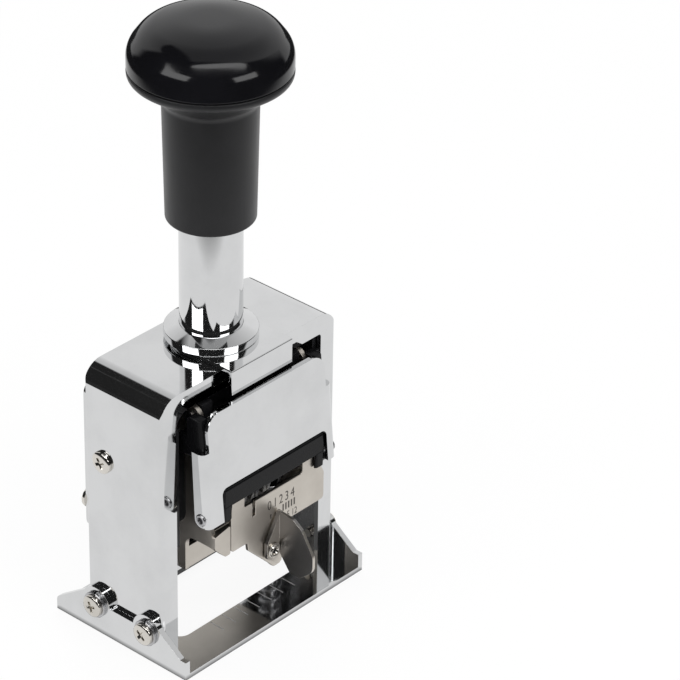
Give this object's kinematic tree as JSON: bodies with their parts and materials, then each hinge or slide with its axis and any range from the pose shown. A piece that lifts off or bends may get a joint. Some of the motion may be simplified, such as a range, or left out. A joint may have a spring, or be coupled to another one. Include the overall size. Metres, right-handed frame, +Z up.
{
  "type": "hand numbering machine",
  "caption": "Hand numbering machine: a knobbed plunger slides in a plated box frame and stamps digit wheels through the base while the ink pad arm swings clear.",
  "frame": {"origin": "on the surface that the base plate stands on, under the middle of the whole machine", "axes": "+X to the right along the wheel axle, seen from the dial side; +Y away from the dial side, to the rear; +Z up the plunger"},
  "size_m": [0.0646, 0.0508, 0.1502],
  "materials": {
    "plated_steel": "mirror-polished plating",
    "satin_nickel": "satin nickel plating",
    "dark_steel": "blackened steel",
    "bare_steel": "bright steel",
    "wheel_steel": "ink-stained steel",
    "gloss_black": "gloss black moulding",
    "satin_black": "satin black moulding",
    "ink_felt": "felt soaked with black ink"
  },
  "bodies": {
    "frame": {"base_plate": "plated_steel", "casing": "plated_steel", "top_lip_plate": "plated_steel", "plunger_collar": "plated_steel", "collar_nut": "bare_steel", "rear_cover": "plated_steel", "rear_screws": "plated_steel", "wall_screws": "plated_steel", "base_screws": "plated_steel", "base_spring_washers": "plated_steel", "side_rail_left": "satin_nickel", "side_rail_right": "satin_nickel", "cam_plate_left": "dark_steel", "cam_plate_right": "dark_steel", "guide_rods": "bare_steel", "rod_feet": "bare_steel", "return_springs": "bare_steel"},
    "plunger": {"knob_cap": "gloss_black", "handle_sleeve": "satin_black", "knob_stud": "bare_steel", "plunger_tube": "plated_steel", "yoke": "dark_steel", "yoke_rivets": "bare_steel", "side_plate_left": "dark_steel", "side_plate_right": "dark_steel", "wheel_axle": "bare_steel", "axle_clips": "bare_steel", "axle_spacers": "bare_steel", "detent_comb": "bare_steel", "pivot_pins": "bare_steel"},
    "digit_wheel_1": {"digit_wheel_1": "wheel_steel"},
    "digit_wheel_2": {"digit_wheel_2": "wheel_steel"},
    "digit_wheel_3": {"digit_wheel_3": "wheel_steel"},
    "digit_wheel_4": {"digit_wheel_4": "wheel_steel"},
    "digit_wheel_5": {"digit_wheel_5": "wheel_steel"},
    "digit_wheel_6": {"digit_wheel_6": "wheel_steel"},
    "feed_arm": {"feed_arm": "dark_steel", "feed_pawls": "bare_steel"},
    "pad_arm": {"pad_carrier": "satin_nickel", "pad_tray": "satin_nickel", "ink_pad": "ink_felt", "dial_plate": "satin_nickel", "pad_frame": "satin_black", "front_cover": "plated_steel", "cover_rivets": "bare_steel", "cam_followers": "bare_steel", "lever_screw": "satin_nickel"},
    "repeat_lever": {"repeat_lever": "satin_nickel"}
  },
  "joints": [
    {"name": "plunger_slide", "type": "slide", "parent": "frame", "child": "plunger", "axis": [0, 0, -1], "range_m": [0, 0.022], "stiffness_N_per_m": 600, "springref_m": -0.01, "deforming": ["return_springs"]},
    {"name": "digit_wheel_1_spin", "type": "hinge", "parent": "plunger", "child": "digit_wheel_1", "pos_m": [0, 0.00415, 0.0315], "axis": [1, 0, 0], "continuous": true},
    {"name": "digit_wheel_2_spin", "type": "hinge", "parent": "plunger", "child": "digit_wheel_2", "pos_m": [0, 0.00415, 0.0315], "axis": [1, 0, 0], "continuous": true},
    {"name": "digit_wheel_3_spin", "type": "hinge", "parent": "plunger", "child": "digit_wheel_3", "pos_m": [0, 0.00415, 0.0315], "axis": [1, 0, 0], "continuous": true},
    {"name": "digit_wheel_4_spin", "type": "hinge", "parent": "plunger", "child": "digit_wheel_4", "pos_m": [0, 0.00415, 0.0315], "axis": [1, 0, 0], "continuous": true},
    {"name": "digit_wheel_5_spin", "type": "hinge", "parent": "plunger", "child": "digit_wheel_5", "pos_m": [0, 0.00415, 0.0315], "axis": [1, 0, 0], "continuous": true},
    {"name": "digit_wheel_6_spin", "type": "hinge", "parent": "plunger", "child": "digit_wheel_6", "pos_m": [0, 0.00415, 0.0315], "axis": [1, 0, 0], "continuous": true},
    {"name": "feed_arm_swing", "type": "hinge", "parent": "plunger", "child": "feed_arm", "pos_m": [0, 0.00415, 0.0315], "axis": [1, 0, 0], "range_deg": [0, 40]},
    {"name": "pad_arm_swing", "type": "hinge", "parent": "plunger", "child": "pad_arm", "pos_m": [0, -0.00585, 0.061], "axis": [-1, 0, 0], "range_deg": [0, 65]},
    {"name": "repeat_lever_turn", "type": "hinge", "parent": "pad_arm", "child": "repeat_lever", "pos_m": [0.0006, -0.01445, 0.02], "axis": [0, 1, 0], "range_deg": [-16, 32]}
  ],
  "couplings": [
    {"joint": "pad_arm_swing", "follows": "plunger_slide", "rad_per_m": 51.566},
    {"joint": "feed_arm_swing", "follows": "plunger_slide", "rad_per_m": 31.733}
  ]
}
